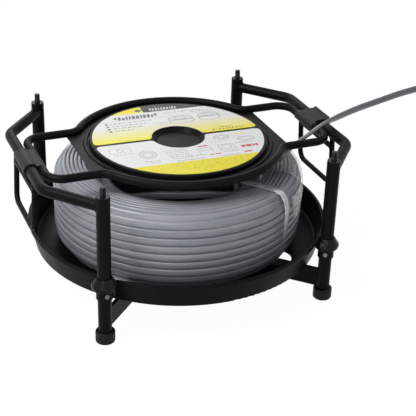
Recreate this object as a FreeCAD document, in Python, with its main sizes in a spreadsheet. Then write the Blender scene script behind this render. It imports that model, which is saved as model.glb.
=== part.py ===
import FreeCAD, Part
import math
import os
import re
import Sketcher
from FreeCAD import Placement, Rotation, Vector

os.makedirs("parts", exist_ok=True)
doc = FreeCAD.newDocument("wire_feeder")

# Driving sizes, in millimetres and degrees. Origin: centre of the four feet, on the ground.
# X runs from the left handle to the right handle, Y to the back, Z up.
SIZES = (
    # posts, legs and feet
    ("post_diameter", 19.1, "outside of legs and upper posts"),
    ("post_wall", 1.5, ""),
    ("post_top", 222, "top of the upper posts"),
    ("leg_top", 82, "top of the lower posts"),
    ("end_gap", 0.3, "between pieces that face each other end to end"),
    ("foot_diameter", 27.5, "rubber foot"),
    ("foot_height", 17, ""),
    ("foot_floor", 4, "rubber under the leg"),
    ("foot_round", 2, ""),
    ("seat_play", 0.05, "radial play of pushed-in pieces"),
    ("slide_play", 0.1, "radial play of sliding and turning pieces"),
    # sleeves that join the upper posts to the legs
    ("sleeve_grip", 12.5, "sleeve on the leg"),
    ("sleeve_rise", 14.5, "sleeve above the leg"),
    ("sleeve_wall", 2, ""),
    ("screw_drop", 4, "sleeve screws, below the top of the leg"),
    ("screw_shank", 3, ""),
    ("screw_head", 6.4, ""),
    ("screw_head_thick", 1.8, ""),
    ("screw_angle", 92, "screw direction"),
    ("screw_angle_front_right", 122, ""),
    # lock collars
    ("collar_diameter", 36, ""),
    ("collar_drop", 11.5, "below the top of the sleeve"),
    ("collar_lip", 5, "inward lip that rests on the sleeve"),
    ("collar_neck", 22, "top of the sloping shoulder"),
    ("collar_slope", 10.5, "height of the shoulder"),
    ("collar_foot", 34, "lower lip"),
    ("collar_foot_height", 2.4, ""),
    ("collar_groove", 31, "above the lower lip"),
    ("collar_groove_height", 1.2, ""),
    ("collar_round", 1, ""),
    ("collar_clearance", 0.3, "lip to upper post, radial"),
    ("collar_rim_gap", 0.5, "collar to the tray rim"),
    ("tab_reach", 16.5, "finger tab, from the post axis"),
    ("tab_gap", 0.4, "tab to sleeve"),
    ("tab_width", 8, ""),
    ("tab_drop", 9, "below the collar"),
    ("tab_angle", -30, "direction of the front left tab"),
    # guide rods and their bushes
    ("rod_diameter", 8, ""),
    ("rod_low", 20, "bottom of the plug"),
    ("plug_height", 10, ""),
    ("rod_reach", 14.5, "above the posts"),
    ("rod_round", 0.8, "tips"),
    ("bush_length", 8, ""),
    ("bush_flange", 1.2, ""),
    ("bush_flange_diameter", 18.4, ""),
    # arms and hub
    ("arm_lift", 1, "above the feet"),
    ("arm_height", 28, ""),
    ("arm_thick", 6, ""),
    ("hub_diameter", 32, ""),
    ("hub_wall", 4, ""),
    ("plate_diameter", 100, "hub plate"),
    ("plate_thick", 3, ""),
    ("bolt_diameter", 12, ""),
    ("bolt_across", 18, "hexagon width"),
    ("bolt_head", 7.5, ""),
    ("bolt_length", 27.4, "shank"),
    ("glide_diameter", 80, "nylon ring under the turntable"),
    ("glide_bore", 24, ""),
    ("glide_thick", 3, ""),
    # turntable
    ("race_diameter", 120, "stiffening disc under the tray"),
    ("race_thick", 2.3, ""),
    ("bush_outer", 20, "centre bush"),
    ("bush_head", 32, ""),
    ("bush_head_thick", 2.5, ""),
    ("washer_diameter", 24, ""),
    ("washer_thick", 2, ""),
    ("nut_height", 10, ""),
    ("tray_radius", 224, "outside of the rim"),
    ("tray_flare", 11.6, "rim past the foot of the wall"),
    ("tray_sheet", 2, ""),
    ("tray_wall", 2.5, "wall measured level"),
    ("tray_height", 36.5, "underside to rim"),
    ("hem_width", 4.5, ""),
    ("hem_height", 5, ""),
    ("hem_round", 1.2, ""),
    ("tray_round", 3, "floor corner"),
    ("hole_diameter", 46, "openings in the tray floor"),
    ("hole_radius", 167, ""),
    ("hole_angle", -49.6, ""),
    # bundle of flat cable
    ("cable_width", 11.6, ""),
    ("cable_gap", 0.6, "between neighbouring turns on top"),
    ("climb_gap", 0.9, "between neighbouring turns on the outside"),
    ("turn_radius", 180.2, "centre of the outer turns"),
    ("bottom_tuck", 7, "bottom turn, inward"),
    ("second_tuck", 2, ""),
    ("top_tuck", 3, ""),
    ("top_drop", 2.7, "top layer, short of a full step"),
    ("top_dip", 2, "where the top layer begins"),
    ("last_tuck", 0.5, "end of the last turn, inward"),
    ("core_gap", 0.25, "turns to core"),
    ("core_bore", 206, ""),
    ("core_lift", 0.6, "turns above the straps that lie under them"),
    ("core_chamfer", 4, "foot of the bore"),
    ("core_tuck", 8.6, "core under the top layer, inward"),
    ("strap_width", 9, ""),
    ("strap_thick", 0.5, ""),
    ("strap_gap", 0.3, "straps to turns and core"),
    ("strap_front", -54, "directions of the two straps"),
    ("strap_back", 126, "opposite the front one"),
    # side handles
    ("handle_diameter", 15.9, ""),
    ("handle_wall", 1.5, ""),
    ("handle_drop", 14.35, "axis of handles and lid rods, below the post tops"),
    ("handle_offset", 61, "grip axis outward from the posts"),
    ("handle_corner", 96, ""),
    ("handle_bend", 28, ""),
    # cable guide loops under the handles
    ("guide_diameter", 8, ""),
    ("guide_width", 104, "between leg axes"),
    ("guide_drop", 85.4, "handle axis to the lower run"),
    ("guide_cross_drop", 23.4, "handle axis to the cross rod"),
    ("guide_lean", 4, "lower run further out than the handle"),
    ("guide_bend", 14, ""),
    # lid
    ("lid_rod", 12, ""),
    ("ring_radius", 152, ""),
    ("branch_spacing", 146, ""),
    ("lid_inset", 16, "axis of the end rods, inside the grips"),
    ("lid_end_bend", 24, ""),
    ("neck_bend", 21, ""),
    ("lid_sheet", 2, ""),
    ("flange_drop", 2.65, "rod axis to flange top"),
    ("flange_inset", 2, "straight edges of the flange, inside the rod ring"),
    ("bead_inset", 15.8, "bead inside the rod ring"),
    ("bead_width", 4, ""),
    ("bead_rise", 1.9, ""),
    ("bead_slope", 1.4, ""),
    ("disc_inset", 5, "foot of the raised disc, inside the bead"),
    ("disc_rise", 7.1, ""),
    ("disc_slope", 0.6, ""),
    ("disc_round", 2, ""),
    ("dish_radius", 38.2, ""),
    ("dish_flare", 6.7, "mouth of the dish past its floor"),
    ("dish_depth", 6.1, ""),
    ("dish_round", 1, ""),
    ("label_margin", 1, "label outside the dish"),
    ("label_inset", 5, "label inside the foot of the disc"),
    ("label_thick", 0.3, ""),
    ("label_gap", 6, ""),
    ("label_round", 7, "corners"),
    ("label_turn", -2.3, "degrees, the print sits slightly askew"),
    # clips
    ("clip_length", 56, ""),
    ("hinge_shift", -6, "hinge clip, along the rod"),
    ("clip_wall", 2.5, ""),
    ("clip_top", 6.5, "hinge clip plate above the rod axis"),
    ("clip_hook", 5.5, "hook under the rod, past its axis"),
    ("latch_wall", 1.7, "eye round the rod"),
    ("latch_width", 46, "saddle and pad"),
    ("latch_shift", 2.5, "latch clip, along the rod"),
    ("latch_gap", 0.3, "latch to handle"),
    ("latch_top", 10.35, "pad above the rod axis"),
    ("latch_skirt", 8.2, "skirt below the handle axis"),
    ("latch_lip", 1.8, "finger lip above the pad"),
    ("latch_lip_width", 3.2, ""),
    ("pad_fall", 0.4, "inner edge of the pad below its outer edge"),
)

# Sizes that follow from others.
FOLLOWING = (
    ("post_spacing", "tray_radius * 3 / 2", "between post axes, along X and along Y"),
    ("tray_floor_radius", "tray_radius - tray_flare", "where the wall leaves the floor"),
    ("sleeve_low", "leg_top - sleeve_grip", ""),
    ("sleeve_top", "leg_top + sleeve_rise", ""),
    ("screw_height", "leg_top - screw_drop", ""),
    ("collar_low", "sleeve_top - collar_drop", ""),
    ("arm_low", "foot_height + arm_lift", ""),
    ("cable_pitch", "cable_width + cable_gap", "between the middles of neighbouring turns"),
    ("climb_pitch", "cable_width + climb_gap", ""),
    ("top_rise", "cable_pitch - top_drop", "last outer turn to the top layer"),
    ("handle_height", "post_top - handle_drop", "axis of handles and lid rods"),
    ("handle_reach", "post_spacing / 2 + handle_offset", "axis of the straight grip"),
    ("lid_reach", "handle_reach - lid_inset", "axis of the end rods"),
    ("flange_reach", "ring_radius - flange_inset", "straight edges of the flange"),
    ("bead_radius", "ring_radius - bead_inset", ""),
    ("disc_radius", "bead_radius - disc_inset", "foot of the raised disc"),
    ("dish_floor", "dish_radius - dish_flare", ""),
    ("label_inner", "dish_radius + label_margin", ""),
    ("label_outer", "disc_radius - label_inset", ""),
)

sheet = doc.addObject("Spreadsheet::Sheet", "Sizes")
for row, (word, entry, note) in enumerate(SIZES + FOLLOWING, 1):
    sheet.set(f"A{row}", word)
    sheet.set(f"B{row}", f"={entry}" if isinstance(entry, str) else str(entry))
    sheet.set(f"C{row}", note)
    sheet.setAlias(f"B{row}", word)
doc.recompute()
WORDS = {line[0] for line in SIZES + FOLLOWING}

# Heights that several pieces share.
HUB_TOP = "arm_low + arm_height"
PLATE_TOP = f"{HUB_TOP} + plate_thick"
GLIDE_TOP = f"{PLATE_TOP} + glide_thick"
RACE_LOW = f"{GLIDE_TOP} + end_gap"
TRAY_LOW = f"{RACE_LOW} + race_thick"
TRAY_FLOOR = f"{TRAY_LOW} + tray_sheet"
BUSH_TOP = f"{TRAY_FLOOR} + bush_head_thick"
WASHER_LOW = f"{BUSH_TOP} + end_gap"
NUT_LOW = f"{WASHER_LOW} + washer_thick"
POST_LOW = "leg_top + end_gap"
FLANGE_TOP = "handle_height - flange_drop"
FLANGE_LOW = f"{FLANGE_TOP} - lid_sheet"
DISC_TOP = f"{FLANGE_TOP} + disc_rise"
LEG = "post_diameter / 2"
LEG_BORE = "post_diameter / 2 - post_wall"
SLEEVE_BORE = "post_diameter / 2 + slide_play"
SLEEVE = f"{SLEEVE_BORE} + sleeve_wall"
CORNERS = (("front_left", -1, -1), ("front_right", 1, -1), ("back_right", 1, 1), ("back_left", -1, 1))
SIDES = (("left", -1), ("right", 1))

nodes = {}


def value(text):
    """Number that a formula of size names gives."""
    return float(sheet.evalExpression(str(text)))


def linked(text):
    """The same formula as other objects write it."""
    return re.sub(r"[a-z][a-z_]*", lambda hit: "Sizes." + hit[0] if hit[0] in WORDS else hit[0], str(text))


def bind(item, **formulas):
    for name, text in formulas.items():
        item.setExpression(name, linked(text))
    return item


def place(item, x="0", y="0", z="0", turn=None):
    if turn is not None:
        item.Placement = Placement(Vector(), turn)
    for axis, text in zip("xyz", (x, y, z)):
        item.setExpression(f"Placement.Base.{axis}", linked(text))
    return item


def node(label, item):
    item.Label = label
    nodes[label] = item
    return item


def corner_place(item, side_x, side_y):
    return place(item, f"{side_x} * post_spacing / 2", f"{side_y} * post_spacing / 2")


def outline_sketch(body, plane_name, outline):
    """Closed polygon whose corners are bound to the sheet."""
    plane = next(p for p in body.Origin.OriginFeatures if p.Role == plane_name)
    sketch = body.newObject("Sketcher::SketchObject", body.Name + "_outline")
    sketch.AttachmentSupport = (plane, "")
    sketch.MapMode = "FlatFace"
    spots = [Vector(value(across), value(up), 0) for across, up in outline]
    count = len(spots)
    sketch.addGeometry([Part.LineSegment(spots[i], spots[(i + 1) % count]) for i in range(count)], False)
    rules = [Sketcher.Constraint("Coincident", i, 2, (i + 1) % count, 1) for i in range(count)]
    formulas = {}
    for i, pair in enumerate(outline):
        for kind, axis, text in (("DistanceX", -2, pair[0]), ("DistanceY", -1, pair[1])):
            if text == "0":
                rules.append(Sketcher.Constraint("PointOnObject", i, 1, axis))
            else:
                formulas[len(rules)] = text
                rules.append(Sketcher.Constraint(kind, -1, 1, i, 1, value(text)))
    sketch.addConstraint(rules)
    for index, text in formulas.items():
        sketch.setExpression(f"Constraints[{index}]", linked(text))
    return sketch


def soften(body, radius, edges_at):
    """Fillet the round edges that lie at the given radius and height."""
    doc.recompute()
    wanted = [(value(across), value(up)) for across, up in edges_at]
    names = []
    for i, edge in enumerate(body.Shape.Edges, 1):
        if edge.Curve.TypeId != "Part::GeomCircle":
            continue
        spot = (edge.Curve.Radius, edge.Curve.Center.z)
        if any(abs(spot[0] - a) < 1e-4 and abs(spot[1] - b) < 1e-4 for a, b in wanted):
            names.append(f"Edge{i}")
    if len(names) < len(wanted):
        raise RuntimeError(f"{body.Name}: {len(names)} of {len(wanted)} edges found")
    base = body.Tip
    fillet = body.newObject("PartDesign::Fillet", body.Name + "_round")
    fillet.Base = (base, names)
    bind(fillet, Radius=radius)
    body.Tip = fillet
    return fillet


def turned(name, outline, rounds=()):
    """Solid of revolution about Z from points given as radius and height."""
    body = doc.addObject("PartDesign::Body", name)
    sketch = outline_sketch(body, "XZ_Plane", outline)
    spin = body.newObject("PartDesign::Revolution", name + "_turn")
    spin.Profile = sketch
    spin.ReferenceAxis = (sketch, ["V_Axis"])
    spin.Angle = 360
    for radius, edges_at in rounds:
        soften(body, radius, edges_at)
    return body


def ring(name, bore, outer, low, high, rounds=()):
    return turned(name, ((bore, low), (outer, low), (outer, high), (bore, high)), rounds)


def padded(name, outline, length):
    """Outline in X and Z, carried along Y and centred on Y = 0."""
    body = doc.addObject("PartDesign::Body", name)
    sketch = outline_sketch(body, "XZ_Plane", outline)
    pad = body.newObject("PartDesign::Pad", name + "_pad")
    pad.Profile = sketch
    bind(pad, Length=length)
    place(body, "0", f"({length}) / 2", "0")
    return body


def cylinder(name, radius, height, x="0", y="0", z="0", turn=None):
    item = doc.addObject("Part::Cylinder", name)
    bind(item, Radius=radius, Height=height)
    return place(item, x, y, z, turn)


def box(name, length, width, height, x="0", y="0", z="0", turn=None):
    item = doc.addObject("Part::Box", name)
    bind(item, Length=length, Width=width, Height=height)
    return place(item, x, y, z, turn)


def fused(name, *items):
    item = doc.addObject("Part::MultiFuse", name)
    item.Shapes = list(items)
    return item


def cut(name, base, *tools):
    item = doc.addObject("Part::Cut", name)
    item.Base = base
    item.Tool = tools[0] if len(tools) == 1 else fused(name + "_tools", *tools)
    return item


def common(name, base, tool):
    item = doc.addObject("Part::Common", name)
    item.Base = base
    item.Tool = tool
    return item


def group(name, items):
    item = doc.addObject("Part::Compound", name)
    item.Links = list(items)
    return item


def cross_y(name, radius, x, z, length):
    """Cylinder along Y, centred on Y = 0."""
    return cylinder(name, radius, length, x, f"-({length}) / 2", z, Rotation(Vector(1, 0, 0), -90))


def bend_points(before, corner, after, radius):
    """Start, middle and end of the arc that rounds a corner."""
    back = (before - corner).normalize()
    ahead = (after - corner).normalize()
    half = back.getAngle(ahead) / 2
    inward = (back + ahead).normalize()
    middle = corner + inward * (radius / math.sin(half) - radius)
    return corner + back * (radius / math.tan(half)), middle, corner + ahead * (radius / math.tan(half))


def rounded_route(spots, radii):
    """Lines and arcs through a chain of points, rounded at the inner ones."""
    edges = []
    last = spots[0]
    for i in range(1, len(spots) - 1):
        start, middle, end = bend_points(spots[i - 1], spots[i], spots[i + 1], radii[i - 1])
        edges.append(Part.LineSegment(last, start))
        edges.append(Part.Arc(start, middle, end))
        last = end
    edges.append(Part.LineSegment(last, spots[-1]))
    return edges


def bent_rod(name, route, outer, wall=None):
    """Round bar or tube along a flat route of lines and arcs in the body's own XY plane."""
    body = doc.addObject("PartDesign::Body", name)
    plane = next(p for p in body.Origin.OriginFeatures if p.Role == "XY_Plane")
    path = body.newObject("Sketcher::SketchObject", name + "_route")
    path.AttachmentSupport = (plane, "")
    path.MapMode = "FlatFace"
    path.addGeometry(route, False)
    path.addConstraint([Sketcher.Constraint("Block", i) for i in range(len(route))])
    doc.recompute()
    section = body.newObject("Sketcher::SketchObject", name + "_section")
    section.AttachmentSupport = (path, "Edge1")
    section.MapMode = "NormalToEdge"
    section.MapPathParameter = 0
    for i, text in enumerate((outer,) if wall is None else (outer, f"{outer} - {wall}")):
        section.addGeometry(Part.Circle(Vector(), Vector(0, 0, 1), value(text)), False)
        section.addConstraint(Sketcher.Constraint("Coincident", i, 3, -1, 1))
        index = section.addConstraint(Sketcher.Constraint("Radius", i, value(text)))
        section.setExpression(f"Constraints[{index}]", linked(text))
    doc.recompute()
    pipe = body.newObject("PartDesign::AdditivePipe", name + "_pipe")
    pipe.Profile = section
    pipe.Spine = (path, [f"Edge{i + 1}" for i in range(len(route))])
    doc.recompute()
    length = sum(edge.length() for edge in route)
    area = math.pi * (value(outer) ** 2 - (value(f"{outer} - {wall}") ** 2 if wall else 0))
    print(f"{name}: volume over section times length {body.Shape.Volume / (area * length):.5f}")
    return body


# Legs with their feet, sleeves and guide rods. Each guide rod stands on a plug inside its leg.
screws = []
for place_name, side_x, side_y in CORNERS:
    aim = side_y * value("screw_angle_front_right" if place_name == "front_right" else "screw_angle")
    level = Rotation(Vector(0, 0, 1), aim) * Rotation(Vector(0, 1, 0), 90)
    east = f"{side_x} * post_spacing / 2"
    north = f"{side_y} * post_spacing / 2"

    def radial(name, radius, start, end):
        """Cylinder that points away from the post, between two distances from its axis."""
        x = f"{east} + ({start}) * cos({aim} deg)"
        y = f"{north} + ({start}) * sin({aim} deg)"
        return cylinder(name, radius, f"{end} - ({start})", x, y, "screw_height", level)

    foot = turned("foot_block", (
        ("0", "0"), ("foot_diameter / 2", "0"), ("foot_diameter / 2", "foot_height"), ("0", "foot_height")),
        (("foot_round", (("foot_diameter / 2", "0"), ("foot_diameter / 2", "foot_height"))),))
    corner_place(foot, side_x, side_y)
    socket = cylinder("foot_socket", f"{LEG} + seat_play", "foot_height", east, north, "foot_floor")
    node(f"foot_{place_name}", cut("foot", foot, socket))

    tube = ring("leg_tube", LEG_BORE, LEG, "foot_floor", "leg_top")
    corner_place(tube, side_x, side_y)
    drill = radial("screw_hole", "screw_shank / 2 + seat_play", "post_wall", f"{SLEEVE} + sleeve_wall")
    node(f"leg_{place_name}", cut("leg", tube, drill))

    tube = turned("sleeve_tube", (
        (f"{LEG} + seat_play", "sleeve_low"), (SLEEVE, "sleeve_low"), (SLEEVE, "sleeve_top"),
        (SLEEVE_BORE, "sleeve_top"), (SLEEVE_BORE, "leg_top"), (f"{LEG} + seat_play", "leg_top")))
    corner_place(tube, side_x, side_y)
    node(f"sleeve_{place_name}", cut("sleeve", tube, drill))

    rod = turned("guide_rod", (
        ("0", "rod_low"), (f"{LEG_BORE} - seat_play", "rod_low"),
        (f"{LEG_BORE} - seat_play", "rod_low + plug_height"), ("rod_diameter / 2", "rod_low + plug_height"),
        ("rod_diameter / 2", "post_top + rod_reach"), ("0", "post_top + rod_reach")),
        (("rod_round", (("rod_diameter / 2", "post_top + rod_reach"),)),))
    node(f"guide_rod_{place_name}", corner_place(rod, side_x, side_y))

    shank = radial("screw_shank_bar", "screw_shank / 2", LEG_BORE, SLEEVE)
    head = radial("screw_head_disc", "screw_head / 2", SLEEVE, f"{SLEEVE} + screw_head_thick")
    screws.append(fused("sleeve_screw", shank, head))
node("sleeve_screws", group("screw_group", screws))

# Four flat arms stand on edge between the hub tube and the legs.
node("hub_tube", ring("hub", "hub_diameter / 2 - hub_wall", "hub_diameter / 2", "arm_low", HUB_TOP))
node("hub_plate", ring("plate", "bolt_diameter / 2 + slide_play", "plate_diameter / 2", HUB_TOP, PLATE_TOP))
for place_name, side_x, side_y in CORNERS:
    swing = Rotation(Vector(0, 0, 1), math.degrees(math.atan2(side_y, side_x)))
    bar = box("arm_bar", "post_spacing / sqrt(2)", "arm_thick", "arm_height",
              f"{side_y} * arm_thick / 2 / sqrt(2)", f"-({side_x}) * arm_thick / 2 / sqrt(2)",
              "arm_low", swing)
    leg_space = corner_place(cylinder("leg_space", LEG, "leg_top"), side_x, side_y)
    hub_space = cylinder("hub_space", "hub_diameter / 2", "leg_top")
    node(f"arm_{place_name}", cut("arm", bar, leg_space, hub_space))

# Pivot: a bolt up through the hub plate, a nylon ring under the turntable, washer and nut on top.
bolt_head = doc.addObject("Part::Prism", "bolt_head_block")
bolt_head.Polygon = 6
bind(bolt_head, Circumradius="bolt_across / sqrt(3)", Height="bolt_head")
place(bolt_head, "0", "0", f"{HUB_TOP} - bolt_head")
bolt_shank = cylinder("bolt_shank", "bolt_diameter / 2", "bolt_length", "0", "0", HUB_TOP)
node("pivot_bolt", fused("bolt", bolt_head, bolt_shank))
node("glide_ring", ring("glide", "glide_bore / 2", "glide_diameter / 2", PLATE_TOP, GLIDE_TOP))
node("pivot_washer", ring("washer", "bolt_diameter / 2 + seat_play", "washer_diameter / 2",
                          WASHER_LOW, NUT_LOW))
nut_block = doc.addObject("Part::Prism", "nut_block")
nut_block.Polygon = 6
bind(nut_block, Circumradius="bolt_across / sqrt(3)", Height="nut_height")
place(nut_block, "0", "0", NUT_LOW)
nut_bore = cylinder("nut_bore", "bolt_diameter / 2 + seat_play", f"{NUT_LOW} + nut_height")
node("pivot_nut", cut("nut", nut_block, nut_bore))

# Turntable: dished tray with a rolled hem and four openings, on a stiff disc with a flanged bush.
node("turntable_race", ring("race", "bush_outer / 2 + seat_play", "race_diameter / 2", RACE_LOW, TRAY_LOW))
node("turntable_bush", turned("centre_bush", (
    ("bolt_diameter / 2 + slide_play", RACE_LOW), ("bush_outer / 2", RACE_LOW),
    ("bush_outer / 2", TRAY_FLOOR), ("bush_head / 2", TRAY_FLOOR), ("bush_head / 2", BUSH_TOP),
    ("bolt_diameter / 2 + slide_play", BUSH_TOP))))
RIM = f"{TRAY_LOW} + tray_height"
HEM_INNER = "tray_radius - hem_width"
SLOPE = f"(({HEM_INNER} - tray_floor_radius) / (tray_height - tray_sheet))"
HEM_ROOT = f"tray_floor_radius + tray_wall + {SLOPE} * (tray_height - tray_sheet - hem_height)"
FOOT_RADIUS = f"tray_floor_radius + tray_wall - {SLOPE} * tray_sheet"
dish = turned("tray_dish", (
    ("bush_outer / 2 + seat_play", TRAY_LOW), (FOOT_RADIUS, TRAY_LOW), (HEM_ROOT, f"{RIM} - hem_height"),
    ("tray_radius", f"{RIM} - hem_height"), ("tray_radius", RIM), (HEM_INNER, RIM),
    ("tray_floor_radius", TRAY_FLOOR), ("bush_outer / 2 + seat_play", TRAY_FLOOR)),
    (("tray_round", (("tray_floor_radius", TRAY_FLOOR), (FOOT_RADIUS, TRAY_LOW))),
     ("hem_round", ((HEM_INNER, RIM), ("tray_radius", RIM), ("tray_radius", f"{RIM} - hem_height")))))
holes = []
for i in range(4):
    aim = f"(hole_angle + {90 * i}) * 1 deg"
    holes.append(cylinder("tray_hole", "hole_diameter / 2", TRAY_FLOOR, f"hole_radius * cos({aim})",
                          f"hole_radius * sin({aim})"))
node("tray", cut("tray_sheet_metal", dish, *holes))

# Bundle of cable. Nine outer turns climb from the bottom, then six turns run inward on top.
OUTER_TURNS = 9
TOP_TURNS = 5
CLIMB = OUTER_TURNS - 1
FIRST_TURN = f"{TRAY_FLOOR} + strap_thick + core_lift + cable_width / 2"
TOP_LAYER = f"{FIRST_TURN} + {CLIMB} * climb_pitch + top_rise"
INSET = "cable_width / 2 + core_gap"


def turn_at(count):
    """Radius and height of the winding's centre after a number of turns."""
    radius = value("turn_radius")
    pitch = value("cable_pitch")
    tucks = {0: value("bottom_tuck"), 0.5: value("(bottom_tuck + second_tuck) / 2"), 1: value("second_tuck"),
             1.5: value("second_tuck / 2"), CLIMB - 0.5: value("top_tuck / 2"), CLIMB: value("top_tuck"),
             CLIMB + 0.5: pitch / 2}
    if count > CLIMB + 0.5:
        inward = pitch * (count - CLIMB)
        if count == CLIMB + 1 + TOP_TURNS:
            inward += value("last_tuck")
    else:
        inward = tucks.get(count, 0)
    if count <= CLIMB:
        height = value(FIRST_TURN) + value("climb_pitch") * count
    else:
        height = value(TOP_LAYER) - (value("top_dip") if count < CLIMB + 1 else 0)
    return radius - inward, height


def turn_spot(count):
    radius, height = turn_at(count)
    angle = 2 * math.pi * count
    return Vector(radius * math.cos(angle), radius * math.sin(angle), height)


def turn_heading(count, last):
    """Unit direction of the winding, from the turns just before and after."""
    radius, height = turn_at(count)
    before = turn_at(max(count - 0.5, 0))
    after = turn_at(min(count + 0.5, last))
    span = min(count + 0.5, last) - max(count - 0.5, 0)
    angle = 2 * math.pi * count
    outward = Vector(math.cos(angle), math.sin(angle), 0)
    along = Vector(-math.sin(angle), math.cos(angle), 0)
    step = along * (2 * math.pi * radius)
    step += outward * ((after[0] - before[0]) / span)
    step += Vector(0, 0, (after[1] - before[1]) / span)
    return step.normalize()


def arc_from(start, heading, end):
    """Arc that leaves start along heading and reaches end."""
    chord = end - start
    reach = Vector(chord).normalize()
    side = (heading - reach * heading.dot(reach)).normalize()
    sag = chord.Length / 2 * math.tan(heading.getAngle(reach) / 2)
    return Part.Arc(start, (start + end) / 2 + side * sag, end)


def half_turn(start, heading, end, leaving):
    """Two arcs, one after the other, between two points with given directions."""
    chord = end - start
    both = chord.dot(heading + leaving)
    spread = 2 * (1 - heading.dot(leaving))
    reach = (math.sqrt(both * both + spread * chord.dot(chord)) - both) / spread
    joint = (start + end + (heading - leaving) * reach) / 2
    middle = joint - (start + heading * reach)
    return arc_from(start, heading, joint), arc_from(joint, middle.normalize(), end)


last_turn = CLIMB + 1 + TOP_TURNS
halves = [i / 2 for i in range(2 * last_turn + 1)]
first_way = turn_heading(0, last_turn)
last_way = turn_heading(last_turn, last_turn)
lead = value("cable_width")
edges = [Part.LineSegment(turn_spot(0) - first_way * lead, turn_spot(0))]
for begin, finish in zip(halves, halves[1:]):
    edges += half_turn(turn_spot(begin), turn_heading(begin, last_turn), turn_spot(finish),
                       turn_heading(finish, last_turn))
edges.append(Part.LineSegment(turn_spot(last_turn), turn_spot(last_turn) + last_way * lead))
winding_route = Part.Wire([edge.toShape() for edge in edges])
winding_section = Part.Wire(Part.Circle(winding_route.Edges[0].Vertexes[0].Point, first_way,
                                        value("cable_width / 2")).toShape())
winding = doc.addObject("Part::Feature", "cable_winding")
winding.Shape = winding_route.makePipeShell([winding_section], True, False)
winding.Placement = Placement()
node("cable_winding", winding)
tube_volume = math.pi * value("cable_width / 2") ** 2 * winding_route.Length
print(f"winding: length {winding_route.Length:.0f}, volume ratio {winding.Shape.Volume / tube_volume:.5f}")

# Least gap between neighbouring turns, from points a millimetre apart along the route.
spots = winding_route.discretize(Number=int(winding_route.Length))
sectors = [[] for i in range(360)]
for i, spot in enumerate(spots):
    sectors[int(math.degrees(math.atan2(spot.y, spot.x)) % 360)].append((i, spot))
least = 1e9
for k in range(360):
    nearby = sectors[k] + sectors[(k + 1) % 360]
    for i, here in sectors[k]:
        for j, there in nearby:
            if j > i + 300 or j < i - 300:
                least = min(least, here.distanceToPoint(there))
print(f"winding: least gap to itself {least - value('cable_width'):.2f}")

# Plain core inside the outer turns.
CORE_LOW = f"{TRAY_FLOOR} + strap_thick + strap_gap"
CORE_TOP = f"{TOP_LAYER} - ({INSET})"
CORE = f"turn_radius - ({INSET})"
core = turned("bundle_core", (
    ("core_bore / 2 + core_chamfer", CORE_LOW), (f"{CORE} - bottom_tuck", CORE_LOW),
    (f"{CORE} - bottom_tuck", FIRST_TURN),
    (CORE, f"{FIRST_TURN} + 2 * climb_pitch"), (CORE, f"{FIRST_TURN} + {CLIMB - 1} * climb_pitch"),
    (f"{CORE} - top_tuck", f"{CORE_TOP} - cable_pitch / 2"), (f"{CORE} - core_tuck", CORE_TOP),
    ("core_bore / 2", CORE_TOP), ("core_bore / 2", f"{CORE_LOW} + core_chamfer")))
node("cable_core", core)

# Two thin straps pulled tight round the section of the bundle.
inset = value(INSET)
profile = [turn_at(count) for count in halves]
profile.append((value("core_bore / 2 - core_gap") + inset, value(CORE_LOW) + inset))
profile.append((profile[0][0], value(CORE_LOW) + inset))


def hull(points):
    """Convex outline of a set of points in the plane."""
    points = sorted(set(points))
    chain = []
    for line in (points, points[::-1]):
        start = len(chain)
        for p in line:
            while len(chain) >= start + 2:
                a, b = chain[-2], chain[-1]
                if (b[0] - a[0]) * (p[1] - a[1]) - (b[1] - a[1]) * (p[0] - a[0]) > 1e-9:
                    break
                chain.pop()
            chain.append(p)
        chain.pop()
    return chain


corners = [Vector(r, 0, z) for r, z in hull(profile)]
loop = Part.makePolygon(corners + corners[:1])
inset += value("strap_gap")
inside = loop.makeOffset2D(inset)
outside = loop.makeOffset2D(inset + value("strap_thick"))
width = Vector(0, value("strap_width"), 0)
band = Part.Face(outside).extrude(width).cut(Part.Face(inside).extrude(width))
band.translate(Vector(0, -value("strap_width") / 2, 0))
straps = doc.addObject("Part::Feature", "bundle_straps")
aims = [value(word) for word in ("strap_front", "strap_back")]
straps.Shape = Part.makeCompound([band.rotated(Vector(), Vector(0, 0, 1), aim) for aim in aims])
straps.Placement = Placement()
node("bundle_straps", straps)

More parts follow.
